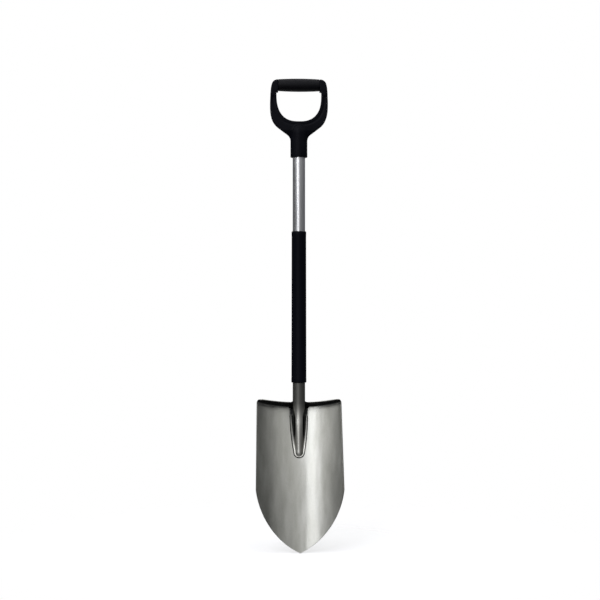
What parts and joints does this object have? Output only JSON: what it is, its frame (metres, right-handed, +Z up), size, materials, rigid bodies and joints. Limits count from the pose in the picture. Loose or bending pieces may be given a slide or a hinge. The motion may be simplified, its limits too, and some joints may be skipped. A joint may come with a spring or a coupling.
{
  "type": "detecting shovel",
  "caption": "Light pointed digging shovel with folded foot treads, a spoon-formed steel neck, a two-piece tubular shaft under a black sleeve and a moulded D handle.",
  "frame": {"origin": "underside of the grip bar at its middle, where a hook carries the hanging shovel, on the shaft's axis", "axes": "+Z up along the shaft towards the handle, -Y out of the hollow side of the blade, +X to the right seen from the hollow side"},
  "size_m": [0.1944, 0.1151, 1.0504],
  "materials": {
    "blade_steel": "satin, heat treated and tumbled",
    "neck_steel": "satin",
    "weld_steel": "as welded, dark",
    "shaft_aluminium": "satin drawn tube",
    "rivet_aluminium": "flush set",
    "sleeve_black": "satin black",
    "handle_black": "satin black moulding",
    "grip_rubber": "soft matt black",
    "screw_steel": "zinc plated"
  },
  "bodies": {
    "root": {"blade": "blade_steel", "neck_tube": "neck_steel", "spoon_weld": "weld_steel", "tread_weld_left": "weld_steel", "tread_weld_right": "weld_steel", "shaft_tube": "shaft_aluminium", "joint_rivets": "rivet_aluminium", "shaft_sleeve": "sleeve_black", "handle_frame": "handle_black", "grip_cover": "grip_rubber", "handle_screw": "screw_steel"}
  },
  "joints": []
}
